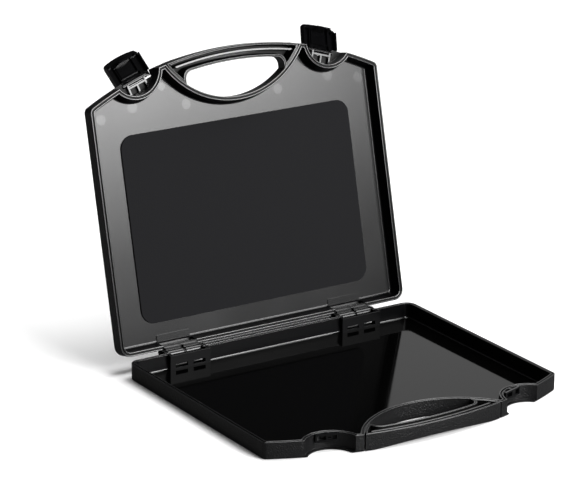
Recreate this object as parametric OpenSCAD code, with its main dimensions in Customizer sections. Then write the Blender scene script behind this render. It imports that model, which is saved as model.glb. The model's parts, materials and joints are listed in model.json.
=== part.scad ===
// Laptop hard case: two shallow moulded halves on a rear hinge, a split carrying handle let into
// the bowed front edge, and a fold-over latch each side of it. Drawn open, as it stands on a table.
// X runs along the hinge, the front faces -Y, and the origin is the middle of the underside.

/* [Case] */
// Width along the hinge
case_w = 380; // [366:1:400]
// Depth from the rear edge to the middle of the bowed front
case_d = 323; // [305:1:345]
// Height of the base half, underside to rim
base_h = 19.2; // [18.4:0.1:24]
// Height of the lid half, rim to outer face
lid_h = 16.6; // [16:0.1:22]
// Radius of the bowed front edge
front_r = 415; // [405:1:480]
// Radius of the two rear corners
rear_corner_r = 12; // [8:0.5:20]
// Radius of the two front corners
front_corner_r = 7; // [5.5:0.5:12]
// Thickness of the rim wall
wall = 4.6; // [4.2:0.1:5.4]
// Thickness of the large panels
panel_t = 2.2; // [1.8:0.1:2.6]
// Width of each of the two ridges of a rim
ridge_w = 1.4; // [1:0.1:1.7]
// Depth of the groove between the ridges
groove_d = 1.5; // [0.8:0.1:2]
// Gap left between the two rims when the case is shut
rim_gap = 0.2; // [0.1:0.05:0.6]
// How far the lid opens, from shut
lid_open = 103.5; // [95:0.5:106]

/* [Handle] */
// Radius of the hand hole's curved back
hand_r = 107; // [102:0.5:115]
// How far the hand hole's back lies behind the front edge
hand_reach = 57; // [53:0.5:62]
// Width of the hand hole
hand_w = 130; // [120:1:140]
// Radius of the hand hole's front corners
hand_corner_r = 10; // [6:0.5:14]
// Thickness of the grip, front to back
grip_t = 16.5; // [14:0.5:19]
// Wall of the grip's channel
grip_wall = 2.8; // [2:0.1:3]
// Distance of the rib along the grip's channel from the front edge
grip_rib_in = 6.3; // [5.6:0.1:7]
// Thickness of that rib
grip_rib_t = 2.4; // [1.6:0.1:2.6]
// How far the handle's outer face arches inwards at its middle
grip_arch = 4.5; // [3:0.5:5.5]
// Width of the slit at each end of the grip
grip_slit = 1.5; // [0.8:0.1:2]
// Clearance where the grip seats on the shell
grip_seat = 0.1; // [0.05:0.05:0.3]
// Width of the tongue that holds each end of the grip
tongue_w = 7; // [5:0.5:9]
// Height of that tongue
tongue_h = 6; // [4:0.5:7]

/* [Latches] */
// Distance of each latch from the middle, measured at its pin
latch_x = 123.4; // [121:0.1:126]
// Radius of the round recess behind a latch
recess_r = 30; // [29.5:0.5:31]
// How far the recess's centre lies outside the front edge
recess_out = 10.7; // [10:0.1:11.2]
// Ledge that the base's outer panel leaves around a recess
base_ledge = 3.5; // [2.5:0.1:3.8]
// Ledge that the lid's outer panel leaves around a recess
lid_ledge = 10; // [8:0.1:11]
// Width of the latch flap
flap_w = 45.4; // [43:0.2:46]
// Length of the flap below its pin
flap_l = 33; // [31:0.5:33.4]
// Length of the flap above its pin
flap_tail = 1.9; // [1.2:0.1:2]
// Thickness of the flap's face
flap_t = 1.8; // [1.4:0.1:2]
// Depth of the flap's side walls behind its face
flap_side = 5.5; // [4:0.1:6.5]
// Radius of the flap's free corners
flap_corner_r = 5; // [3:0.5:6]
// Height of the latch pin above the lid's rim
latch_pin_w = 14.4; // [14:0.1:14.6]
// Depth of the latch pin behind the front edge
latch_pin_in = 4.5; // [4.3:0.1:5]
// Radius of the latch pin
latch_pin_r = 1.25; // [1:0.05:1.4]
// Radius of the eyes and knuckles on the latch pin
latch_eye_r = 2.2; // [2:0.05:2.2]
// How far a latch opens, from shut
latch_open = 110; // [100:1:120]
// Radius of the flap's bowed free edge
flap_bow_r = 110; // [90:5:150]
// Width of the catch, and of the bracket that carries the flap
catch_w = 25; // [23:0.5:26]
// Thickness of their ribs
catch_rib = 1.9; // [1.6:0.1:2.4]
// Depth of the catch's face behind the front edge
catch_in = 13.5; // [12.5:0.1:14]
// Height of the catch's lower edge
catch_z = 10.4; // [9.6:0.1:11]
// Height of the catch's upper edge
catch_top = 19; // [18:0.1:19.2]

/* [Hinges] */
// Distance of each hinge's middle from the case's middle
hinge_x = 115; // [100:1:130]
// Clear width between a hinge's ears
hinge_w = 43; // [40:1:50]
// Thickness of an ear
ear_t = 4.8; // [3.6:0.1:6]
// Thickness of the middle ear
mid_ear_t = 3; // [2.4:0.1:4]
// Radius of the ears and of the leaf's knuckles
knuckle_r = 5; // [4.6:0.1:5]
// Distance of the hinge pin behind the rear edge
hinge_out = 5.4; // [5.4:0.1:6.4]
// Distance of the hinge pin below the base's rim
hinge_down = 4.6; // [4.4:0.1:5.4]
// Radius of the hinge pin
hinge_pin_r = 1.5; // [1.2:0.05:2]
// Depth of the boxed-in bay inside the base's rear wall
bay_d = 10.8; // [10:0.1:14]
// Wall of that bay
bay_wall = 2.2; // [1.8:0.1:2.6]
// Height of the bay's sill
bay_sill = 3; // [2.6:0.1:4]
// Height of the two slots in the bay's wall
slot_h = 4.2; // [3:0.1:5]
// How far the bead along the lid's rear edge stands out
bead_out = 4.2; // [3:0.1:4.6]
// Height of that bead
bead_h = 2.4; // [1.8:0.1:3]

/* [Lid pad] */
// Width of the pad
pad_w = 302.6; // [280:0.2:320]
// Depth of the pad
pad_d = 211.9; // [190:0.1:216]
// Distance of the pad from the lid's rear edge
pad_rear = 29.4; // [26:0.1:36]
// Thickness of the pad
pad_t = 1.6; // [1:0.1:3]
// Radius of the pad's corners
pad_corner_r = 16; // [8:1:24]

/* [Fits] */
// Radial clearance of a pin in the eyes that hold it
pin_hold = 0.02; // [0.01:0.01:0.03]
// Radial clearance of a pin in the knuckles that turn on it
pin_run = 0.07; // [0.05:0.01:0.1]
// Clearance between parts that turn past each other
turn_gap = 0.3; // [0.25:0.05:0.5]
// Clearance of a part seated in a shell
seat_gap = 0.1; // [0.05:0.05:0.2]

/* [Hidden] */

$fn = 72;
// Facets of the long bowed arcs
bow_fn = 360;
// How far a cut runs past the face that it opens
past = 1;

black = "#1b1b1c";
pad_grey = "#252527";
steel = "#8c8c90";

rear_y = case_d / 2;
front_y = -case_d / 2;
bow_y = front_y + front_r;
// The lid's rim when shut, and the outer face of the shut case
rim_z = base_h + rim_gap;
top_z = rim_z + lid_h;
hinge_y = rear_y + hinge_out;
hinge_z = base_h - hinge_down;
latch_pin_z = rim_z + latch_pin_w;
latch_angle = asin(latch_x / (front_r - latch_pin_in));
recess_back = recess_r - recess_out;
// The two sides, by name
LEFT = -1;
RIGHT = 1;

// Frames

// Turns the shut lid, and all that it carries, to the open pose
module opened() {
    translate([0, hinge_y, hinge_z])
        rotate([-lid_open, 0, 0])
            translate([0, -hinge_y, -hinge_z])
                children();
}

// A latch's own frame: x along its pin, y into the case from the bowed front edge, z up
module at_latch(side) {
    translate([0, bow_y, 0])
        rotate(side * latch_angle)
            translate([0, -front_r, 0])
                children();
}

// Turns a shut flap to its open pose, in the latch's frame
module flap_opened() {
    translate([0, latch_pin_in, latch_pin_z])
        rotate([-latch_open, 0, 0])
            translate([0, -latch_pin_in, -latch_pin_z])
                children();
}

// The hinge pin's frame, in the middle of one hinge
module at_hinge(side) {
    translate([side * hinge_x, hinge_y, hinge_z])
        children();
}

// A straight round bar along X, centred
module bar(r, length) {
    rotate([0, 90, 0])
        cylinder(r = r, h = length, center = true);
}

// A box centred on X, from low to high in y and z
module slab(width, y_low, y_high, z_low, z_high) {
    translate([-width / 2, y_low, z_low])
        cube([width, y_high - y_low, z_high - z_low]);
}

// Plans

// A strip with straight sides and a bowed front with rounded corners; the bow's centre is the origin
module bowed(half, r, corner, back) {
    fillet_x = half - corner;
    fillet_y = sqrt(pow(r - corner, 2) - pow(fillet_x, 2));
    reach = (r + 2 * past) / (r - corner);
    difference() {
        intersection() {
            circle(r = r, $fn = bow_fn);
            translate([-half, -r - past]) square([2 * half, r + past + back]);
        }
        for (m = [0, 1])
            mirror([m, 0])
                difference() {
                    polygon([[fillet_x, -fillet_y], [half + past, -fillet_y],
                             [half + past, -r - 2 * past], [fillet_x * reach, -fillet_y * reach]]);
                    translate([fillet_x, -fillet_y]) circle(r = corner);
                }
    }
}

// The case's outline seen from above, moved inwards by inset
module outline(inset) {
    corner = max(rear_corner_r - inset, 0.5);
    difference() {
        translate([0, bow_y])
            bowed(case_w / 2 - inset, front_r - inset, max(front_corner_r - inset, 0.5),
                  rear_y - bow_y - inset);
        for (m = [0, 1])
            mirror([m, 0])
                translate([case_w / 2 - inset - corner, rear_y - inset - corner])
                    difference() {
                        square(corner + past);
                        circle(r = corner);
                    }
    }
}

// The round recesses behind the latches, grown by inset
module recesses(inset) {
    for (side = [LEFT, RIGHT])
        at_latch(side)
            translate([0, -recess_out]) circle(r = recess_r + inset, $fn = 120);
}

// The circle that forms the hand hole's back, grown by inset
module hand_circle(inset) {
    translate([0, front_y + hand_reach - hand_r]) circle(r = hand_r + inset, $fn = bow_fn);
}

// One half of the case without its handle, moved inwards by inset
module shell_plan(inset) {
    difference() {
        outline(inset);
        recesses(inset);
        hand_circle(inset);
    }
}

// The hand hole's front and sides, grown by inset
module hand_front(inset) {
    translate([0, bow_y])
        bowed(hand_w / 2 + inset, front_r - grip_t + inset, hand_corner_r, rear_y - bow_y);
}

// The grip seen from above, moved inwards by inset
module grip_plan(inset) {
    slit_x = hand_w / 2 + 2 * hand_corner_r;
    difference() {
        intersection() {
            outline(inset);
            hand_circle(-grip_seat - inset);
        }
        hand_front(inset);
        // The slit between the grip's end and the horn of the shell beside it
        difference() {
            for (m = [0, 1])
                mirror([m, 0])
                    translate([slit_x, front_y - past]) square([case_w, hand_reach]);
            hand_circle(-grip_slit - inset);
        }
    }
}

// Shared shapes of both halves, drawn with the outer panel at z = 0 and the rim at z = height

// A tray with a panel, a wall all round and two ridges along the rim
module tray(height, ledge) {
    difference() {
        union() {
            linear_extrude(height) shell_plan(0);
            // The panel's ledge around each recess
            linear_extrude(panel_t)
                difference() {
                    outline(0);
                    recesses(-ledge);
                    hand_circle(0);
                }
        }
        translate([0, 0, panel_t]) linear_extrude(height) shell_plan(wall);
        translate([0, 0, height - groove_d])
            linear_extrude(height)
                difference() {
                    shell_plan(ridge_w);
                    shell_plan(wall - ridge_w);
                }
    }
}

// Where the tongues of a grip's two ends pass through the wall of the hand hole
module at_tongues() {
    tongue_x = hand_w / 2 + hand_corner_r;
    tongue_angle = asin(tongue_x / hand_r);
    for (side = [LEFT, RIGHT])
        translate([0, front_y + hand_reach - hand_r, 0])
            rotate(-side * tongue_angle)
                translate([0, hand_r, 0])
                    children();
}

// Slots for those tongues
module tongue_slots() {
    at_tongues()
        slab(tongue_w + 2 * seat_gap, -past, wall + past,
             panel_t + tongue_h / 2 - seat_gap, panel_t + tongue_h * 1.5 + seat_gap);
}

// What the arch of a handle's outer face leaves out, up to extra above that face
module under_arch(extra) {
    half = hand_w / 2 + hand_corner_r;
    arch_r = (pow(half, 2) + pow(grip_arch, 2)) / (2 * grip_arch);
    translate([0, front_y - past, grip_arch - arch_r])
        rotate([-90, 0, 0])
            cylinder(r = arch_r + extra, h = hand_reach, $fn = bow_fn);
}

// Half of the handle: a channel along the bow, open at the rim, with one rib all along it
module grip_half(height) {
    difference() {
        linear_extrude(height) grip_plan(0);
        under_arch(0);
        difference() {
            translate([0, 0, panel_t])
                linear_extrude(height)
                    difference() {
                        grip_plan(grip_wall);
                        difference() {
                            outline(grip_rib_in);
                            outline(grip_rib_in + grip_rib_t);
                        }
                    }
            under_arch(panel_t);
        }
    }
    at_tongues()
        slab(tongue_w, -grip_wall, wall - seat_gap,
             panel_t + tongue_h / 2, panel_t + tongue_h * 1.5);
}

// Ribs that stand on the ledge at each end of a recess, just behind the shut flap's corners
module corner_ribs(height) {
    rib_t = 1.6;
    rib_x = flap_w / 2 - flap_corner_r;
    rib_y = latch_pin_in - latch_eye_r - turn_gap + flap_side + 2 * turn_gap;
    for (side = [LEFT, RIGHT])
        intersection() {
            for (m = [0, 1])
                mirror([m, 0, 0])
                    translate([rib_x, rib_y, 0])
                        rotate(-35)
                            translate([-rib_t / 2, 0, 0]) cube([rib_t, 12, height]);
            translate([0, -recess_out, 0]) cylinder(r = recess_r + wall / 2, h = height, $fn = 120);
        }
}

// Slot in a recess's back wall for the tongue of a catch or bracket
module insert_slot(z_low, z_high) {
    slab(catch_w / 2 + 2 * seat_gap, recess_back - 2 * past - wall / 2, recess_back + wall + past,
         z_low - seat_gap, z_high + seat_gap);
}

// Cuts a catch or bracket to the round back wall that it seats on, and adds its tongue
module seated(z_low, z_high) {
    intersection() {
        children();
        translate([0, -recess_out, -past])
            cylinder(r = recess_r - seat_gap, h = top_z + 2 * past, $fn = 120);
    }
    slab(catch_w / 2, recess_back - catch_rib, recess_back + wall - seat_gap, z_low, z_high);
}

// Base half

insert_z = [catch_z + catch_rib, catch_top - catch_rib];

module base_shell() {
    color(black)
        difference() {
            union() {
                tray(base_h, base_ledge);
                for (side = [LEFT, RIGHT]) {
                    hinge_bay(side);
                    hinge_ears(side);
                    at_latch(side) corner_ribs(catch_z - turn_gap);
                }
            }
            for (side = [LEFT, RIGHT]) {
                hinge_bay_cut(side);
                at_latch(side) insert_slot(insert_z[0], insert_z[1]);
            }
            tongue_slots();
        }
}

// The box that closes the compartment behind a hinge
module hinge_bay(side) {
    translate([side * hinge_x, rear_y, 0])
        slab(hinge_w + 2 * ear_t, -bay_d, -wall + ridge_w, 0, base_h);
}

// The pocket in that box that clears the hinge leaf, with two slots in its inner wall
module hinge_bay_cut(side) {
    slot_w = (hinge_w - 2 * ear_t - mid_ear_t) / 2;
    translate([side * hinge_x, rear_y, 0]) {
        difference() {
            slab(hinge_w, -bay_d + bay_wall, past, bay_sill, base_h + past);
            // The middle ear grows out of a rib on the pocket's floor
            slab(mid_ear_t, -bay_d, past, 0, base_h - hinge_down);
        }
        for (m = [LEFT, RIGHT])
            translate([m * (mid_ear_t + ear_t + slot_w) / 2, 0, 0])
                slab(slot_w, -bay_d - past, -bay_d + bay_wall + past,
                     bay_sill + bay_wall / 2, bay_sill + bay_wall / 2 + slot_h);
    }
}

// Three ears on the hinge pin; the outer two end in the lugs that stop the open lid
module hinge_ears(side) {
    stop_l = knuckle_r * 2;
    // The middle ear stays clear of the leaf's web
    mid_ear_r = hinge_down + rim_gap - past / 2 - turn_gap;
    at_hinge(side)
        difference() {
            union() {
                for (m = [LEFT, RIGHT])
                    translate([m * (hinge_w + ear_t) / 2, 0, 0]) {
                        bar(knuckle_r, ear_t);
                        slab(ear_t, -hinge_out - wall / 2, 0, -knuckle_r, hinge_down - turn_gap);
                        rotate([-lid_open, 0, 0])
                            slab(ear_t, -hinge_out + seat_gap, 0, 0, stop_l);
                    }
                bar(mid_ear_r, mid_ear_t);
                slab(mid_ear_t, -hinge_out - wall, 0, -knuckle_r, 0);
            }
            bar(hinge_pin_r + pin_hold, hinge_w + 3 * ear_t);
        }
}

module grip_base() {
    color(black) grip_half(base_h);
}

// The insert that a shut latch hooks under: three ribs between two bars
module catch(side) {
    color(black)
        at_latch(side)
            seated(insert_z[0], insert_z[1]) {
                for (i = [-1, 0, 1])
                    translate([i * (catch_w - catch_rib) / 2, 0, 0])
                        slab(catch_rib, catch_in, recess_back + past, catch_z, catch_top);
                slab(catch_w, catch_in, catch_in + catch_rib, catch_z, catch_z + catch_rib);
                slab(catch_w, catch_in, catch_in + catch_rib, catch_top - catch_rib, catch_top);
            }
}

module hinge_pin(side) {
    color(steel) at_hinge(side) bar(hinge_pin_r, hinge_w + 2 * ear_t - 2 * pin_run);
}

// Lid half, drawn shut and turned open

bracket_z = [latch_pin_z - latch_eye_r * 1.8, top_z - panel_t - seat_gap];

// Draws a half with its outer panel uppermost
module upside_down() {
    translate([0, 0, top_z]) mirror([0, 0, 1]) children();
}

// The part of the ledge that the tail of an opening flap sweeps through
module flap_way() {
    tail_reach = norm([flap_tail, latch_eye_r + turn_gap + flap_t]);
    intersection() {
        slab(flap_w + 2 * turn_gap, -recess_out, latch_pin_in + tail_reach,
             top_z - panel_t - past, top_z + past);
        translate([0, -recess_out, top_z - panel_t - 2 * past])
            cylinder(r = recess_r, h = panel_t + 4 * past, $fn = 120);
    }
}

// The bead behind the lid's rear edge that closes the gap over the base's rear wall between the hinges
module rear_bead() {
    bead_w = 2 * (hinge_x - hinge_w / 2 - ear_t - turn_gap);
    translate([0, rear_y, 0])
        slab(bead_w, -ridge_w / 2, bead_out, rim_z, rim_z + bead_h);
}

module lid_shell() {
    color(black)
        opened()
            difference() {
                union() {
                    rear_bead();
                    upside_down() tray(lid_h, lid_ledge);
                    for (side = [LEFT, RIGHT])
                        upside_down() at_latch(side) corner_ribs(panel_t + latch_eye_r);
                }
                for (side = [LEFT, RIGHT]) {
                    // Gap in the rear wall that the hinge leaf fills
                    translate([side * hinge_x, rear_y, 0])
                        slab(hinge_w, -wall - past, past, rim_z - past, top_z - panel_t);
                    at_latch(side) insert_slot(bracket_z[0] + past, bracket_z[1] - past);
                    at_latch(side) flap_way();
                }
                upside_down() tongue_slots();
            }
}

module grip_lid() {
    color(black) opened() upside_down() grip_half(lid_h);
}

module lid_pad() {
    pad_z = top_z - panel_t - seat_gap - pad_t;
    half_x = pad_w / 2 - pad_corner_r;
    half_y = pad_d / 2 - pad_corner_r;
    color(pad_grey)
        opened()
            translate([0, rear_y - pad_rear - pad_d / 2, pad_z])
                linear_extrude(pad_t)
                    union() {
                        square([pad_w, 2 * half_y], center = true);
                        square([2 * half_x, pad_d], center = true);
                        for (x = [-half_x, half_x], y = [-half_y, half_y])
                            translate([x, y]) circle(r = pad_corner_r);
                    }
}

// The plate that fills the gap in the lid's rear wall and carries the two knuckles
module hinge_leaf(side) {
    leaf_w = hinge_w - 2 * turn_gap;
    plate_low = rim_z - hinge_z;
    plate_high = top_z - panel_t - seat_gap - hinge_z;
    foot_l = bay_d;
    color(black)
        opened()
            at_hinge(side)
                difference() {
                    union() {
                        bar(knuckle_r, leaf_w);
                        // Web from the knuckles up to the plate
                        slab(leaf_w, -hinge_out - wall / 2, 0, turn_gap * 3, plate_low + panel_t);
                        slab(leaf_w, -hinge_out - wall + seat_gap, -hinge_out - seat_gap,
                             plate_low, plate_high);
                        // Foot on the inside of the lid's panel
                        slab(leaf_w, -hinge_out - wall - foot_l, -hinge_out - wall / 2,
                             plate_high - panel_t / 2, plate_high);
                    }
                    slab(mid_ear_t + 2 * turn_gap, -hinge_out - knuckle_r, knuckle_r + past,
                         -knuckle_r - past, plate_low - past / 2);
                    bar(hinge_pin_r + pin_run, hinge_w);
                }
}

// The lid-side insert: two arms with eyes for the latch pin, a cross bar and a middle rib
module latch_bracket(side) {
    arm_x = (catch_w - catch_rib) / 2;
    cross_in = latch_pin_in + latch_eye_r + 2 * turn_gap;
    color(black)
        opened()
            at_latch(side)
                difference() {
                    union() {
                        seated(bracket_z[0] + past, bracket_z[1] - past) {
                            for (i = [-1, 1])
                                translate([i * arm_x, 0, 0])
                                    slab(catch_rib, latch_pin_in, recess_back + past,
                                         bracket_z[0], bracket_z[1]);
                            slab(catch_rib, cross_in, recess_back + past,
                                 bracket_z[0], bracket_z[1]);
                            slab(catch_w, cross_in, cross_in + catch_rib,
                                 bracket_z[0], latch_pin_z);
                        }
                        for (i = [-1, 1])
                            translate([i * arm_x, latch_pin_in, latch_pin_z])
                                bar(latch_eye_r, catch_rib);
                    }
                    translate([0, latch_pin_in, latch_pin_z])
                        bar(latch_pin_r + pin_hold, catch_w + 2 * past);
                }
}

// Length of the knuckles outside the bracket's arms, and of the whole latch pin
outer_knuckle = 3.4;
latch_pin_l = catch_w + 2 * turn_gap + 2 * outer_knuckle;

module latch_pin(side) {
    color(steel)
        opened()
            at_latch(side)
                translate([0, latch_pin_in, latch_pin_z]) bar(latch_pin_r, latch_pin_l - 2 * pin_run);
}

// Latch flap

// The flap's face sits this far in front of its pin
face_out = latch_eye_r + turn_gap;
face_y = latch_pin_in - face_out;
flap_low = latch_pin_z - flap_l;
flap_high = latch_pin_z + flap_tail;

// The face seen from the front: a bowed free edge with round corners
module flap_face() {
    corner_x = flap_w / 2 - flap_corner_r;
    corner_low = flap_bow_r - sqrt(pow(flap_bow_r - flap_corner_r, 2) - pow(corner_x, 2));
    translate([-flap_w / 2, flap_low + corner_low])
        square([flap_w, flap_high - flap_low - corner_low]);
    intersection() {
        translate([0, flap_low + flap_bow_r]) circle(r = flap_bow_r, $fn = bow_fn);
        translate([-corner_x, flap_low]) square([2 * corner_x, 2 * corner_low]);
    }
    for (x = [-corner_x, corner_x])
        translate([x, flap_low + corner_low]) circle(r = flap_corner_r);
}

module latch_flap(side) {
    side_high = latch_pin_z - latch_eye_r * 1.8;
    side_low = flap_low + flap_corner_r + flap_t;
    lug_r = 1.5;
    hook_x = catch_w / 2 - turn_gap;
    color(black)
        opened()
            at_latch(side)
                flap_opened()
                    difference() {
                        union() {
                            translate([0, face_y, 0])
                                rotate([90, 0, 0])
                                    linear_extrude(flap_t) flap_face();
                            // Side walls, end wall and the two long ribs
                            for (m = [0, 1])
                                mirror([m, 0, 0]) {
                                    translate([flap_w / 2 - flap_t / 2, 0, 0])
                                        slab(flap_t, face_y - flap_t / 2, face_y + flap_side,
                                             side_low, side_high);
                                    translate([hook_x + flap_t / 2, 0, 0])
                                        slab(flap_t / 1.5, face_y - flap_t / 2,
                                             face_y + flap_side / 2, side_low, side_high);
                                    translate([flap_w / 2 - flap_corner_r,
                                               face_y - flap_t / 2, side_low])
                                        rotate([-90, 0, 0])
                                            cylinder(r = lug_r, h = flap_t / 2 + flap_side);
                                }
                            slab(flap_w - flap_t, face_y - flap_t / 2,
                                 face_y + flap_side / 2, side_low - flap_t, side_low - flap_t / 3);
                            // Short rib across the hinge end
                            slab(catch_w / 2, face_y - flap_t / 2, face_y + flap_t,
                                 side_high - flap_t, side_high);
                            knuckles();
                        }
                        translate([0, latch_pin_in, latch_pin_z])
                            bar(latch_pin_r + pin_run, latch_pin_l + 2 * past);
                    }
}

// One knuckle between the bracket's arms and one outside each
module knuckles() {
    inner_l = catch_w - 2 * catch_rib - 2 * turn_gap;
    outer_x = catch_w / 2 + turn_gap + outer_knuckle / 2;
    for (k = [[0, inner_l], [-outer_x, outer_knuckle], [outer_x, outer_knuckle]])
        translate([k[0], 0, 0]) {
            translate([0, latch_pin_in, latch_pin_z]) bar(latch_eye_r, k[1]);
            slab(k[1], face_y - flap_t / 2, latch_pin_in, latch_pin_z - latch_eye_r, flap_high);
        }
}

// The hook plate: a shallow box fixed inside the flap, with the tooth that goes under the catch
module latch_hook(side) {
    plate_w = catch_w - 4 * turn_gap;
    frame_t = 1.4;
    plate_y = face_y + seat_gap / 2;
    tooth_top = catch_z - turn_gap;
    tooth_t = 2.6;
    tooth_in = 2.5;
    plate_low = tooth_top - tooth_t;
    plate_high = latch_pin_z - flap_side - latch_eye_r;
    color(black)
        opened()
            at_latch(side)
                flap_opened() {
                    difference() {
                        slab(plate_w, plate_y, face_y + flap_side * 0.7, plate_low, plate_high);
                        slab(plate_w - 2 * frame_t, plate_y + flap_t / 1.5, face_y + flap_side,
                             plate_low + frame_t, plate_high - frame_t);
                    }
                    slab(plate_w - 4 * frame_t, plate_y, catch_in + tooth_in, plate_low, tooth_top);
                }
}

base_shell();
grip_base();
catch(LEFT);  // catch_left
catch(RIGHT);  // catch_right
hinge_pin(LEFT);  // hinge_pin_left
hinge_pin(RIGHT);  // hinge_pin_right
lid_shell();
grip_lid();
lid_pad();
hinge_leaf(LEFT);  // hinge_leaf_left
hinge_leaf(RIGHT);  // hinge_leaf_right
latch_bracket(LEFT);  // latch_bracket_left
latch_bracket(RIGHT);  // latch_bracket_right
latch_pin(LEFT);  // latch_pin_left
latch_pin(RIGHT);  // latch_pin_right
latch_flap(LEFT);  // latch_flap_left
latch_flap(RIGHT);  // latch_flap_right
latch_hook(LEFT);  // latch_hook_left
latch_hook(RIGHT);  // latch_hook_right
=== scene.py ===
import json
import math

import bmesh
import bpy
from mathutils import Matrix, Vector


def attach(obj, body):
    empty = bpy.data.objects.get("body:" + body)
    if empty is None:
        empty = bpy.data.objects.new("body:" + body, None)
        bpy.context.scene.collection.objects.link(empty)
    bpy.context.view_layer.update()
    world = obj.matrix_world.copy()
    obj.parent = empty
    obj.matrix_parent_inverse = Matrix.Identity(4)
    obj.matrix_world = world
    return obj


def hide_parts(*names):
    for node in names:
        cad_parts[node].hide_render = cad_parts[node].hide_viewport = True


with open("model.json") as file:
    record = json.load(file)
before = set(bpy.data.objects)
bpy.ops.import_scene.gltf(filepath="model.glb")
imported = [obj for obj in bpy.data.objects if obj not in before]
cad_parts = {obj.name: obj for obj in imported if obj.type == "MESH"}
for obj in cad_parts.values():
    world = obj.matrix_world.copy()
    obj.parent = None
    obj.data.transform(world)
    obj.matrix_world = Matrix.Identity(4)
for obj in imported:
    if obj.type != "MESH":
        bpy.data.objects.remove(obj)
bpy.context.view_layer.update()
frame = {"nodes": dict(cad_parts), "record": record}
record = frame["record"]


# Moulded plastic. The case is injection-moulded in black ABS: polished inside, with a fine spark-eroded
# texture on the outer faces that turns the gloss into a soft sheen. The finishes of the latches, the
# pins and the pad follow the shells'.
SMUDGES_PER_METRE = 14.0


def linear(code):
    """An sRGB hex colour as the linear values that a shader wants."""
    parts = [int(code[i:i + 2], 16) / 255 for i in (1, 3, 5)]
    return [p / 12.92 if p <= 0.04045 else ((p + 0.055) / 1.055) ** 2.4 for p in parts] + [1.0]


def add(tree, kind, settings=(), **inputs):
    """Adds a shader node. Settings are its properties; an input is a value or another node's output."""
    node = tree.nodes.new(kind)
    for name, value in dict(settings).items():
        setattr(node, name, value)
    for name, value in inputs.items():
        socket = node.inputs[name.replace("_", " ")]
        if isinstance(value, bpy.types.NodeSocket):
            tree.links.new(value, socket)
        else:
            socket.default_value = value
    return node


def finish(name, colour, roughness, metallic=0.0, grain_mm=0.0, grain_depth=0.0, smudge=0.0, gloss=0.5):
    """A finish in one colour, with an optional moulded grain and a little unevenness in its gloss."""
    made = bpy.data.materials.new(name)
    made.use_nodes = True
    tree = made.node_tree
    shader = tree.nodes["Principled BSDF"]
    shader.inputs["Base Color"].default_value = linear(colour)
    shader.inputs["Roughness"].default_value = roughness
    shader.inputs["Metallic"].default_value = metallic
    shader.inputs["Specular IOR Level"].default_value = gloss
    place = add(tree, "ShaderNodeTexCoord").outputs["Object"]
    if smudge:
        cloud = add(tree, "ShaderNodeTexNoise", Vector=place, Scale=SMUDGES_PER_METRE, Detail=3.0)
        spread = add(tree, "ShaderNodeMapRange", Value=cloud.outputs["Fac"],
                     To_Min=roughness - smudge, To_Max=roughness + smudge)
        tree.links.new(spread.outputs["Result"], shader.inputs["Roughness"])
    if grain_mm:
        grain = add(tree, "ShaderNodeTexNoise", Vector=place, Scale=1000 / grain_mm, Detail=2.0)
        bump = add(tree, "ShaderNodeBump", Height=grain.outputs["Fac"], Distance=grain_depth / 1000,
                   Strength=1.0)
        tree.links.new(bump.outputs["Normal"], shader.inputs["Normal"])
    return made


shell_outside = finish("Black ABS, spark texture", "#101011", 0.36, grain_mm=1.5, grain_depth=0.7)
shell_inside = finish("Black ABS, polished", "#020202", 0.06, smudge=0.02, gloss=0.12)
wall_inside = finish("Black ABS, polished, drawn walls", "#030304", 0.3, smudge=0.04, gloss=0.14)
lid_inside = finish("Black ABS, polished, lid panel", "#060607", 0.25, smudge=0.03)
latch_plastic = finish("Black ABS, latch gloss", "#050506", 0.14, smudge=0.03)
rim_plastic = finish("Black ABS, rim ridges", "#101011", 0.24, gloss=0.8)
lid_mark = finish("Black ABS, ejector marks", "#161617", 0.22, gloss=0.6)
# The matt finish is also darker than the rims. Its dark colour is painted shade, standing for the shade in
# the rim's groove, in the grip's channel and on the ledge under each latch.
matt_painted_shade = finish("Black ABS, matt, darkened for painted shade in grooves", "#040404", 0.5, gloss=0.2)
pin_wire = finish("Drawn steel wire", "#9a9a9e", 0.3, metallic=1.0)
pad_sheet = finish("Grey foam sheet", "#161618", 0.9, grain_mm=1.6, grain_depth=0.12, gloss=0.2)


# Base half. A shallow injection-moulded tray: bowed front, round latch recesses, a curved back to the
# hand hole, and a rim of two rounded ridges with a groove between them. Its walls lean for the mould.
# All sizes are in mm, as in the part's source; a forward distance counts from the rear edge.
SIDES = ((-1, "left"), (1, "right"))
CASE_W, CASE_D = 380.0, 323.0
BASE_H, LID_H = 19.2, 16.6
PANEL, WALL = 2.2, 4.6
REAR_Y = CASE_D / 2
BOW_R = 415.0
BOW_F = CASE_D - BOW_R
REAR_CORNER_R, FRONT_CORNER_R, LEAST_R = 12.0, 7.0, 0.6
HAND_R, HAND_REACH = 107.0, 57.0
HAND_F = CASE_D - HAND_REACH + HAND_R
LATCH_X, LATCH_PIN_IN = 123.4, 4.5
LATCH_ANGLE = math.asin(LATCH_X / (BOW_R - LATCH_PIN_IN))
RECESS_R, RECESS_OUT = 30.0, 10.7
RECESS_X = (BOW_R + RECESS_OUT) * math.sin(LATCH_ANGLE)
RECESS_F = BOW_F + (BOW_R + RECESS_OUT) * math.cos(LATCH_ANGLE)
HALVES_GAP = 0.2
TOP_Z = BASE_H + HALVES_GAP + LID_H
HINGE_X, HINGE_OUT, HINGE_DOWN = 115.0, 5.4, 4.6
HINGE_Y, HINGE_Z = REAR_Y + HINGE_OUT, BASE_H - HINGE_DOWN
LID_OPEN = math.radians(103.5)
BASE_LEDGE, LID_LEDGE = 3.5, 10.0
BASE_FLOOR_IN, LID_FLOOR_IN = 6.2, 7.6
RIDGE_W, GROOVE_D, RIDGE_FOOT = 1.4, 1.5, 0.45
SHARP_EDGE = math.radians(38)
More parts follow.
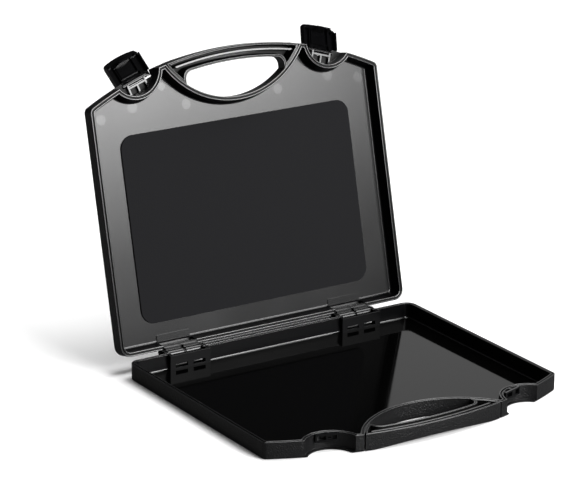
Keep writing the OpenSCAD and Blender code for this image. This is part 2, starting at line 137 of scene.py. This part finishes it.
OUTSIDE, INSIDE, RIM, MATT_SHADE, DRAWN = range(5)


def in_base(x, forward, height):
    """A point of the base: mm from the middle, forward from the rear edge, up from the underside."""
    return Vector((x, REAR_Y - forward, height)) / 1000


def in_lid(x, forward, height):
    """The same for the lid, height counted from its outer face, in the open pose."""
    turn = Matrix.Rotation(-LID_OPEN, 3, "X")
    arm = turn @ Vector((0, REAR_Y - forward - HINGE_Y, TOP_Z - height - HINGE_Z))
    return Vector((x, HINGE_Y + arm.y, HINGE_Z + arm.z)) / 1000


def arc(cx, cy, r, start, end, count):
    """Points along an arc, angles in radians."""
    steps = [start + (end - start) * i / (count - 1) for i in range(count)]
    return [(cx + r * math.cos(a), cy + r * math.sin(a)) for a in steps]


def meet(c1, r1, c2, r2, pick):
    """Where two circles cross: the crossing that pick puts first."""
    dx, dy = c2[0] - c1[0], c2[1] - c1[1]
    gap = math.hypot(dx, dy)
    along = (gap * gap + r1 * r1 - r2 * r2) / (2 * gap)
    off = math.sqrt(max(r1 * r1 - along * along, 0.0))
    middle = (c1[0] + along * dx / gap, c1[1] + along * dy / gap)
    both = [(middle[0] + s * off * dy / gap, middle[1] - s * off * dx / gap) for s in (1, -1)]
    return min(both, key=pick)


def shell_half(inset, ledge):
    """Right half of a shell's plan, moved inwards by inset, from the rear middle to the hand hole's.

    At the latch recess it moves outwards again by ledge, for the ledge under the latch."""
    rear_r = max(REAR_CORNER_R - inset, LEAST_R)
    front_r = max(FRONT_CORNER_R - inset, LEAST_R)
    side = CASE_W / 2 - inset
    bow_r = BOW_R - inset
    points = [(0.0, inset), (side - rear_r, inset)]
    points += arc(side - rear_r, inset + rear_r, rear_r, -math.pi / 2, 0, count=9)[1:]
    corner_x = side - front_r
    corner_f = BOW_F + math.sqrt((bow_r - front_r) ** 2 - corner_x ** 2)
    turn = math.atan2(corner_f - BOW_F, corner_x)
    points += arc(corner_x, corner_f, front_r, 0, turn, count=7)
    recess, bow, hand = (RECESS_X, RECESS_F), (0.0, BOW_F), (0.0, HAND_F)
    recess_r, hand_r = RECESS_R + inset - ledge, HAND_R + inset
    outer = meet(bow, bow_r, recess, recess_r, lambda p: -p[0])
    inner = meet(bow, bow_r, recess, recess_r, lambda p: p[0])
    horn = meet(bow, bow_r, hand, hand_r, lambda p: -p[0])
    if inner[0] <= horn[0]:
        inner = horn = meet(recess, recess_r, hand, hand_r, lambda p: p[1])
    bow_end = math.atan2(outer[1] - BOW_F, outer[0])
    points += arc(0, BOW_F, bow_r, turn, bow_end, count=10)[1:]
    start = math.atan2(outer[1] - RECESS_F, outer[0] - RECESS_X)
    end = math.atan2(inner[1] - RECESS_F, inner[0] - RECESS_X)
    if end > 0:
        end -= 2 * math.pi
    points += arc(RECESS_X, RECESS_F, recess_r, start, end, count=40)[1:]
    for share in (0.25, 0.5, 0.75, 1.0):
        points.append((inner[0] + (horn[0] - inner[0]) * share, inner[1] + (horn[1] - inner[1]) * share))
    start = math.atan2(horn[1] - HAND_F, horn[0])
    points += arc(0, HAND_F, hand_r, start, -math.pi / 2, count=40)[1:]
    return points


def ring(half):
    """A whole plan from its right half."""
    return half + [(-x, y) for x, y in reversed(half[1:-1])]


def new_piece(name, body, materials):
    """A scene object from a finished bmesh, named after the given words."""
    mesh = bpy.data.meshes.new(name)
    body.to_mesh(mesh)
    body.free()
    for material in materials:
        mesh.materials.append(material)
    made = bpy.data.objects.new(name.lower().replace(" ", "_"), mesh)
    bpy.context.scene.collection.objects.link(made)
    return made


def loft(name, rings, materials):
    """A skin through rings of equal length, each with a material index, closed by flat caps."""
    body = bmesh.new()
    levels = [[body.verts.new(p) for p in points] for points, _ in rings]
    count = len(levels[0])
    for i in range(len(levels) - 1):
        for k in range(count):
            a, b = levels[i][k], levels[i][(k + 1) % count]
            c, d = levels[i + 1][(k + 1) % count], levels[i + 1][k]
            face = body.faces.new((a, b, c, d))
            face.material_index = rings[i + 1][1]
            face.smooth = True
    for end in (0, -1):
        face = body.faces.new(levels[end])
        face.material_index = rings[end][1]
        face.smooth = True
    bmesh.ops.remove_doubles(body, verts=body.verts, dist=1e-7)
    bmesh.ops.recalc_face_normals(body, faces=body.faces)
    for edge in body.edges:
        if len(edge.link_faces) == 2 and edge.calc_face_angle(0) > SHARP_EDGE:
            edge.smooth = False
    return new_piece(name, body, materials)


def even_normals(piece):
    """Lets large flat faces set the shading of the small rounded ones beside them."""
    weighted = piece.modifiers.new("Even normals", "WEIGHTED_NORMAL")
    weighted.keep_sharp = True
    weighted.weight = 80


def ridge(start, top, first):
    """A rounded ridge of the rim: up one side, over the top and down the other."""
    rise = [(0.0, -RIDGE_FOOT), (0.12, -0.13), (0.42, 0.0)]
    fall = [(RIDGE_W - inset, z) for inset, z in reversed(rise)]
    indices = [first] + [RIM] * 5
    return [(start + inset, top + z, 0, index) for (inset, z), index in zip(rise + fall, indices)]


def shell_rings(height, place, floor_in, ledge):
    """Rings of one half: outer face, wall, two ridges with a groove, inner wall and panel."""
    groove = height - GROOVE_D
    # The ledge under the latch and the groove between the ridges take the matt finish, whose dark colour is
    # painted shade.
    levels = [(2.2, 0, ledge, OUTSIDE), (1.2, 0.18, ledge, OUTSIDE), (0.5, 0.6, ledge, OUTSIDE),
              (0.1, 1.3, ledge, OUTSIDE), (0.02, 1.9, ledge - 0.1, OUTSIDE),
              (0.01, PANEL, ledge - 0.5, OUTSIDE), (0.01, PANEL, 0.5, MATT_SHADE),
              (0, PANEL + 0.4, 0.05, OUTSIDE)]
    levels += ridge(0, height, OUTSIDE)
    levels += [(1.46, groove + 0.2, 0, MATT_SHADE), (1.66, groove, 0, MATT_SHADE), (2.94, groove, 0, MATT_SHADE),
               (3.14, groove + 0.2, 0, MATT_SHADE)]
    levels += ridge(WALL - RIDGE_W, height, MATT_SHADE)
    levels += [((WALL + floor_in) / 2, height / 2, 0, DRAWN), (floor_in, PANEL + 1.4, 0, DRAWN),
               (floor_in + 0.3, PANEL + 0.7, 0, RIM), (floor_in + 0.9, PANEL + 0.2, 0, RIM),
               (floor_in + 1.8, PANEL, 0, INSIDE)]
    return [([place(x, f, z) for x, f in ring(shell_half(inset, reach))], index)
            for inset, z, reach, index in levels]


base = loft("Base shell", shell_rings(BASE_H, in_base, BASE_FLOOR_IN, BASE_LEDGE),
            (shell_outside, shell_inside, rim_plastic, matt_painted_shade, wall_inside))


# Hinge bays of the base. Behind each hinge the rear wall is open, so the leaf can swing down, and a
# moulded box with two slots closes the compartment off. The rear wall's ridges end at it.
HINGE_W, EAR_T, MID_EAR_T = 43.0, 4.8, 3.0
BAY_D, BAY_WALL, BAY_SILL = 10.8, 2.2, 3.0
BAY_BACK, BAY_FOOT, BAY_UNDER_RIM = 2.4, 0.6, 0.02
SLOT_FROM, SLOT_TO, SLOT_Z, SLOT_H = 7.0, 12.0, 4.1, 4.2
SLOT_W = (HINGE_W - 2 * EAR_T - MID_EAR_T) / 2
CUT_FROM, BASE_CUT_TOP, LID_CUT_TOP = -1.0, 21.0, 18.0
LEAF_GAP_D = 6.5


def box_mesh(name, place, low, high, material):
    """A box between two corners in mm."""
    body = bmesh.new()
    corners = {}
    for i in (0, 1):
        for j in (0, 1):
            for k in (0, 1):
                corners[i, j, k] = body.verts.new(place((low[0], high[0])[i], (low[1], high[1])[j],
                                                        (low[2], high[2])[k]))
    for axis in range(3):
        for end in (0, 1):
            loop = []
            for u, v in ((0, 0), (1, 0), (1, 1), (0, 1)):
                key = [u, v]
                key.insert(axis, end)
                loop.append(corners[tuple(key)])
            body.faces.new(loop)
    bmesh.ops.recalc_face_normals(body, faces=body.faces)
    return new_piece(name, body, (material,))


def hinge_gap(name, place, side, deep, low, high, material):
    """A cutter as wide as a hinge, from behind the rear wall to deep mm inside it."""
    x_low, x_high = side * HINGE_X - HINGE_W / 2, side * HINGE_X + HINGE_W / 2
    return box_mesh(name, place, (x_low, CUT_FROM, low), (x_high, deep, high), material)


def pocket(side):
    """A cutter for the hollow of a hinge bay."""
    return hinge_gap("Pocket", in_base, side, BAY_D - BAY_WALL, BAY_SILL, BASE_CUT_TOP, shell_inside)


def bevelled(piece, width, angle):
    """Small moulded radii, in mm, on the edges that turn by more than an angle in degrees."""
    bevel = piece.modifiers.new("Edge radius", "BEVEL")
    bevel.width = width / 1000
    bevel.segments = 2
    bevel.limit_method = "ANGLE"
    bevel.angle_limit = math.radians(angle)


def round_edges(piece, width):
    """Rounds the edges of a hard piece made here, and shades it by its flat faces."""
    bevelled(piece, width, angle=40)
    for face in piece.data.polygons:
        face.use_smooth = True
    even_normals(piece)


def cut(piece, cutters):
    """Cuts the cutters out of the piece for good and removes them."""
    for cutter in cutters:
        boolean = piece.modifiers.new("Cut", "BOOLEAN")
        boolean.operation = "DIFFERENCE"
        boolean.solver = "EXACT"
        boolean.object = cutter
    graph = bpy.context.evaluated_depsgraph_get()
    mesh = bpy.data.meshes.new_from_object(piece.evaluated_get(graph))
    piece.modifiers.clear()
    piece.data = mesh
    for cutter in cutters:
        bpy.data.objects.remove(cutter)


for side, word in SIDES:
    x_low, x_high = side * HINGE_X - HINGE_W / 2 - EAR_T, side * HINGE_X + HINGE_W / 2 + EAR_T
    bay = box_mesh("Hinge bay " + word, in_base, (x_low, BAY_BACK, BAY_FOOT),
                   (x_high, BAY_D, BASE_H - BAY_UNDER_RIM), wall_inside)
    slots = [pocket(side)]
    for m in (-1, 1):
        middle = side * HINGE_X + m * (MID_EAR_T + EAR_T + SLOT_W) / 2
        slots.append(box_mesh("Slot", in_base, (middle - SLOT_W / 2, SLOT_FROM, SLOT_Z),
                              (middle + SLOT_W / 2, SLOT_TO, SLOT_Z + SLOT_H), shell_inside))
    cut(bay, slots)
    round_edges(bay, width=0.35)
    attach(bay, "base")
cut(base, [pocket(side) for side, _ in SIDES])
even_normals(base)
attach(base, "base")
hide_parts("base_shell")


# Hinge ears of the base. Three plates a side carry the pin; the outer two end in the lugs that stop the
# open lid. They are moulded in one with the rear wall. Their outlines are (Y, Z) points about the pin.
EAR_R, MID_EAR_R = 5.0, 4.0
FOOT_BACK, MID_FOOT_BACK = 7.7, 10.0
FOOT_DOWN, FOOT_UP = 5.0, 4.3
LUG_T, LUG_REACH = 5.3, 10.0


def circle(cx, cy, r, count):
    """Points around a whole circle."""
    return [(cx + r * math.cos(2 * math.pi * i / count), cy + r * math.sin(2 * math.pi * i / count))
            for i in range(count)]


def rectangle(y_low, z_low, y_high, z_high):
    """The four corners of a rectangle."""
    return [(y_low, z_low), (y_high, z_low), (y_high, z_high), (y_low, z_high)]


def turned(points, angle):
    """Points about the hinge pin, turned by an angle in radians."""
    c, s = math.cos(angle), math.sin(angle)
    return [(HINGE_Y + y * c - z * s, HINGE_Z + y * s + z * c) for y, z in points]


def prism(name, outline, x_low, x_high, material):
    """A plate between two x values with an outline of (Y, Z) points in mm."""
    ends = [([Vector((x, y, z)) / 1000 for y, z in outline], 0) for x in (x_low, x_high)]
    return loft(name, ends, (material,))


for side, word in SIDES:
    for m, part in ((-1, "inner"), (0, "middle"), (1, "outer")):
        x = side * HINGE_X + side * m * (HINGE_W + EAR_T) / 2
        half = (EAR_T if m else MID_EAR_T) / 2
        radius, foot_back, foot_up = (EAR_R, FOOT_BACK, FOOT_UP) if m else (MID_EAR_R, MID_FOOT_BACK, 0)
        outlines = [("eye", turned(circle(0, 0, radius, count=36), 0)),
                    ("foot", turned(rectangle(-foot_back, -FOOT_DOWN, 0, foot_up), 0))]
        if m:
            outlines.append(("lug", turned(rectangle(-LUG_T, 0, 0, LUG_REACH), -LID_OPEN)))
        for form, outline in outlines:
            plate = prism(f"Ear {form} {word} {part}", outline, x - half, x + half, shell_inside)
            round_edges(plate, width=0.3)
            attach(plate, "base")


# Lid half. The same moulding, a little shallower, seen standing open; its polished inside mirrors the
# soft light in front of it. Behind its rear wall are gaps for the hinge leaves, and its outer face is cut
# back along each recess, so the latch flap can lie flush in it when shut.
WAY_HALF, WAY_R, WAY_REACH, WAY_PAST, FACE_CUT = 22.8, 29.9, 9.2, 14.0, 0.3


def flap_way(side):
    """A cutter for the way of a latch flap: a round back behind the bow, open towards the front."""
    across = [-WAY_HALF + 2 * WAY_HALF * i / 40 for i in range(41)]
    plan = [(t, min(WAY_REACH, math.sqrt(WAY_R ** 2 - t * t) - RECESS_OUT)) for t in across]
    plan += [(WAY_HALF, -WAY_PAST), (-WAY_HALF, -WAY_PAST)]
    c, s = math.cos(LATCH_ANGLE), math.sin(LATCH_ANGLE)
    way = [(side * (BOW_R * s + t * c - y * s), BOW_F + BOW_R * c - t * s - y * c) for t, y in plan]
    return loft("Flap way", [([in_lid(x, f, z) for x, f in way], 0) for z in (CUT_FROM, PANEL + FACE_CUT)],
                (lid_inside,))


lid = loft("Lid shell", shell_rings(LID_H, in_lid, LID_FLOOR_IN, LID_LEDGE),
           (shell_outside, lid_inside, rim_plastic, matt_painted_shade, wall_inside))
gaps = [hinge_gap("Gap", in_lid, side, LEAF_GAP_D, PANEL, LID_CUT_TOP, lid_inside) for side, _ in SIDES]
gaps += [flap_way(side) for side, _ in SIDES]
cut(lid, gaps)
even_normals(lid)
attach(lid, "lid")
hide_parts("lid_shell")


# Ejector marks of the lid. Where the mould's pins pushed the lid out, shallow discs are left on the
# panel, each with a fine edge a tenth of a millimetre high. The list gives their places and radii.
EJECTORS = [(-130, 271, 6.5), (130, 271, 6.5), (-61, 265, 6), (61, 265, 6), (-171, 263, 6), (171, 263, 6),
            (-90, 289, 5)]
for k, (x, forward, radius) in enumerate(EJECTORS):
    profile = ((radius, PANEL - 0.3), (radius, PANEL + 0.06), (radius - 0.25, PANEL + 0.1),
               (radius - 0.55, PANEL + 0.03))
    disc = [([in_lid(px, pf, z) for px, pf in circle(x, forward, r, count=48)], 0) for r, z in profile]
    mark = loft(f"Ejector mark {k + 1}", disc, (lid_mark,))
    even_normals(mark)
    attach(mark, "lid")


# Rear bead of the lid. A rounded strip along the rear edge of the rim, moulded with it, which closes the
# gap over the base's rear wall between the hinges when the lid stands open. Its outline is (forward,
# down from the rim) points, with a shallow groove along its top.
BEAD_OUT, BEAD_H, BEAD_ROUND, BEAD_SEAT = 4.2, 2.4, 0.4, 0.7
TURN_GAP = 0.3
bead = [(BEAD_SEAT, 0.0), (-0.4, 0.0), (-0.7, 0.35), (-1.5, 0.35), (-1.8, 0.0),
        (BEAD_ROUND - BEAD_OUT, 0.0), (-BEAD_OUT, BEAD_ROUND), (-BEAD_OUT, BEAD_H - BEAD_ROUND),
        (BEAD_ROUND - BEAD_OUT, BEAD_H), (BEAD_SEAT, BEAD_H)]
bead_end = HINGE_X - HINGE_W / 2 - EAR_T - TURN_GAP
strip = loft("Rear bead", [([in_lid(x, f, LID_H - w) for f, w in bead], 0) for x in (-bead_end, bead_end)],
             (rim_plastic,))
round_edges(strip, width=0.15)
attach(strip, "lid")


# Handle. Each half carries a channel along the bow, a separate moulding let into the hand hole and held
# by a tongue at each end. Its outer face arches up in the middle for the fingers. A fine groove runs
# along the top of its wall, and one long rib along the channel.
GRIP_SLIT, GRIP_SEAT, GRIP_T, GRIP_WALL = 1.5, 0.1, 16.5, 2.8
HAND_HALF, HAND_CORNER_R, TONGUE_X, LEAST_TURN = 65.0, 10.0, 85.0, 0.01
ARCH_HALF, ARCH_RISE, ARCH_BELOW = 75.0, 4.5, 5.0
RIB_IN, RIB_T, RIB_FOOT = 6.3, 2.4, 1.5
RIB_FRONT_TURN, RIB_REAR_TURN = math.radians(10.9), math.radians(10.7)
GRIP_OUTSIDE, GRIP_MATT_SHADE, GRIP_RIM = range(3)
grip_finishes = (shell_outside, matt_painted_shade, rim_plastic)


def grip_half(outer, inner):
    """Right half of the grip's plan: the bow inset by outer, the sides and the hole's edge by inner."""
    bow_r = BOW_R - outer
    end_r, seat_r = HAND_R - GRIP_SLIT - inner, HAND_R - GRIP_SEAT - inner
    tip = meet((0.0, BOW_F), bow_r, (0.0, HAND_F), end_r, lambda p: -p[0])
    points = arc(0, BOW_F, bow_r, math.pi / 2, math.atan2(tip[1] - BOW_F, tip[0]), count=26)
    side = HAND_HALF + inner
    tip_turn = math.atan2(tip[1] - HAND_F, tip[0])
    tongue_turn = -math.acos(min(TONGUE_X / seat_r, 1.0))
    side_turn = -math.acos(side / seat_r)
    points += arc(0, HAND_F, end_r, tip_turn, max(tongue_turn, tip_turn - LEAST_TURN), count=4)[1:]
    points += arc(0, HAND_F, seat_r, min(tongue_turn, tip_turn), side_turn, count=14)[1:]
    hole_r = BOW_R - GRIP_T + inner
    corner_x = side - HAND_CORNER_R
    corner_f = BOW_F + math.sqrt((hole_r - HAND_CORNER_R) ** 2 - corner_x ** 2)
    turn = math.atan2(corner_f - BOW_F, corner_x)
    points += arc(corner_x, corner_f, HAND_CORNER_R, 0, turn, count=9)
    points += arc(0, BOW_F, hole_r, turn, math.pi / 2, count=20)[1:]
    return points


def arched(place, plan, z):
    """A ring at height z. Near the outer face it follows the arch in the middle of the handle."""
    radius = (ARCH_HALF ** 2 + ARCH_RISE ** 2) / (2 * ARCH_RISE)
    if z >= ARCH_BELOW:
        return [place(x, f, z) for x, f in plan]
    return [place(x, f, z + max(ARCH_RISE - radius + math.sqrt(radius ** 2 - x * x), 0.0)) for x, f in plan]


def grip_rings(height, place):
    """Rings of a grip: outer skin, a wall with a fine groove along its top, the channel."""
    levels = [(1.6, 0, GRIP_OUTSIDE), (0.5, 0.35, GRIP_OUTSIDE), (0.05, 1.2, GRIP_OUTSIDE)]
    crest = [(0.0, -0.45), (0.12, -0.13), (0.38, 0.0), (0.8, 0.0), (1.05, -0.12), (1.2, -0.45)]
    crest += [(GRIP_WALL - inset, z) for inset, z in reversed(crest)]
    # The fine groove on the wall's top and the channel take the matt finish, whose dark colour is painted
    # shade.
    indices = [GRIP_OUTSIDE] + [GRIP_RIM] * 4 + [GRIP_MATT_SHADE] * 3 + [GRIP_RIM] * 4
    levels += [(inset, height + z, index) for (inset, z), index in zip(crest, indices)]
    levels += [(3.1, 4.5, GRIP_MATT_SHADE), (3.4, 3.0, GRIP_MATT_SHADE), (4.2, PANEL, GRIP_MATT_SHADE)]
    return [(arched(place, ring(grip_half(inset, inset)), z), index) for inset, z, index in levels]


def rib_rings(height, place):
    """Rings of the rib in a grip's channel, which lies along the bow and has a rounded crest."""
    # The rib's sides take the matt finish too, with its painted shade.
    levels = ((0.0, RIB_FOOT, GRIP_MATT_SHADE), (0.0, height - 0.7, GRIP_MATT_SHADE), (0.15, height - 0.4, GRIP_RIM),
              (0.5, height - 0.3, GRIP_RIM))
    rings = []
    for inset, z, index in levels:
        plan = arc(0, BOW_F, BOW_R - RIB_IN - inset, math.pi / 2 - RIB_FRONT_TURN,
                   math.pi / 2 + RIB_FRONT_TURN, count=40)
        plan += arc(0, BOW_F, BOW_R - RIB_IN - RIB_T + inset, math.pi / 2 + RIB_REAR_TURN,
                    math.pi / 2 - RIB_REAR_TURN, count=40)
        rings.append((arched(place, plan, z), index))
    return rings


for word, place, height in (("base", in_base, BASE_H), ("lid", in_lid, LID_H)):
    grip = loft("Grip " + word, grip_rings(height, place), grip_finishes)
    even_normals(grip)
    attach(grip, word)
    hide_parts("grip_" + word)
    rib = loft("Grip rib " + word, rib_rings(height, place), grip_finishes)
    even_normals(rib)
    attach(rib, word)


# Latches, catches, brackets, leaves and pins. Small gloss mouldings, shown as the part's source makes
# them: each flap turns on a wire pin in the lid's bracket and carries a hook plate that goes under the
# catch in the base.
finishes = {"latch_black": latch_plastic, "shell_black": shell_inside, "pin_steel": pin_wire,
            "pad_foam": pad_sheet}
slots = {part["node"]: part["material_slot"] for part in record["subparts"]}
for name, node in frame["nodes"].items():
    made = lid_inside if name.startswith("hinge_leaf") else finishes[slots[name]]
    for slot in node.material_slots:
        slot.material = made
    if not node.material_slots:
        node.data.materials.append(made)
    if name.startswith(("latch_flap", "latch_hook", "latch_bracket", "catch", "hinge_leaf")):
        bevelled(node, width=0.25, angle=50)


# White sweep and surroundings. The case stands on white paper. The camera sees paper and surroundings
# white, while the case is lit and mirrored by a dim room and a dim floor, as with black flags around it.
# The colours of a mix node are found by their numbers, as several of its sockets share a name.
SWEEP_HALF = 6.0
DIM_PAPER = 0.1
ROOM_LIGHT, ROOM_MIRRORED = 0.22, 0.02
WHITE = (1.0, 1.0, 1.0, 1.0)
TONE_A, TONE_B, TONE_OUT = 6, 7, 2

sweep_mesh = bpy.data.meshes.new("Sweep")
sweep_corners = [(x * SWEEP_HALF, y * SWEEP_HALF, 0) for x, y in ((-1, -1), (1, -1), (1, 1), (-1, 1))]
sweep_mesh.from_pydata(sweep_corners, [], [(0, 1, 2, 3)])
sweep = bpy.data.objects.new("Sweep", sweep_mesh)
bpy.context.scene.collection.objects.link(sweep)
paper = finish("White paper sweep", "#ffffff", 0.9, gloss=0.0)
paper_tree = paper.node_tree
to_camera = add(paper_tree, "ShaderNodeLightPath").outputs["Is Camera Ray"]
tone = add(paper_tree, "ShaderNodeMix", {"data_type": "RGBA"})
tone.inputs[TONE_A].default_value = (DIM_PAPER, DIM_PAPER, DIM_PAPER, 1)
tone.inputs[TONE_B].default_value = WHITE
paper_tree.links.new(to_camera, tone.inputs["Factor"])
paper_tree.links.new(tone.outputs[TONE_OUT], paper_tree.nodes["Principled BSDF"].inputs["Base Color"])
sweep_mesh.materials.append(paper)

world = bpy.data.worlds.new("Studio")
bpy.context.scene.world = world
world.use_nodes = True
sky = world.node_tree
rays = add(sky, "ShaderNodeLightPath")
soft = add(sky, "ShaderNodeMapRange", Value=rays.outputs["Is Glossy Ray"], To_Min=ROOM_LIGHT,
           To_Max=ROOM_MIRRORED)
level = add(sky, "ShaderNodeMapRange", Value=rays.outputs["Is Camera Ray"], To_Max=1.0)
sky.links.new(soft.outputs["Result"], level.inputs["To Min"])
sky.links.new(level.outputs["Result"], sky.nodes["Background"].inputs["Strength"])
sky.nodes["Background"].inputs["Color"].default_value = WHITE


# Lights. A large soft box at the front right, which the lid mirrors, a second one above, which throws the
# soft shadow to the left, and a dim card at the far right, which the base's floor mirrors.
def soft_light(name, place, target, width, height, power):
    """A rectangular soft box aimed at a point, sizes in metres and power in watts."""
    data = bpy.data.lights.new(name, "AREA")
    data.shape = "RECTANGLE"
    data.size = width
    data.size_y = height
    data.energy = power
    lamp = bpy.data.objects.new(name, data)
    lamp.location = place
    lamp.visible_camera = False
    lamp.rotation_euler = (Vector(target) - Vector(place)).to_track_quat("-Z", "Y").to_euler()
    bpy.context.scene.collection.objects.link(lamp)


soft_light("Front soft box", (0.82, -2.1, 1.1), (0, 0.2, 0.2), width=1.6, height=1.1, power=96)
soft_light("Top soft box", (0.9, 0.4, 2.4), (0, 0, 0), width=2.0, height=2.0, power=75)
soft_light("Rear card", (1.9, 2.4, 1.3), (0.1, 0, 0), width=1.4, height=2.0, power=7.4)


# Camera. It stands front left and a little above, with a long lens, as the photograph was taken. Its
# place, the direction from the case back to it, its roll and its lens were fitted to the photograph.
LENS_MM, SENSOR_MM, FAR_M = 192.67, 36, 50
CAMERA_PLACE = (-1.78472, -2.58141, 1.22229)
CAMERA_BACK = (-0.52048, -0.79141, 0.32057)
CAMERA_ROLL = math.radians(0.577)

camera_data = bpy.data.cameras.new("Camera")
camera_data.lens = LENS_MM
camera_data.sensor_width = SENSOR_MM
camera_data.clip_end = FAR_M
camera = bpy.data.objects.new("Camera", camera_data)
bpy.context.scene.collection.objects.link(camera)
bpy.context.scene.camera = camera
back = Vector(CAMERA_BACK).normalized()
level_right = Vector((-back.y, back.x, 0)).normalized()
level_up = back.cross(level_right)
right = level_right * math.cos(CAMERA_ROLL) + level_up * math.sin(CAMERA_ROLL)
up = level_up * math.cos(CAMERA_ROLL) - level_right * math.sin(CAMERA_ROLL)
facing = Matrix((right, up, back)).transposed()
camera.matrix_world = Matrix.Translation(CAMERA_PLACE) @ facing.to_4x4()

bpy.context.scene.view_settings.view_transform = "Standard"
bpy.context.scene.view_settings.look = "None"
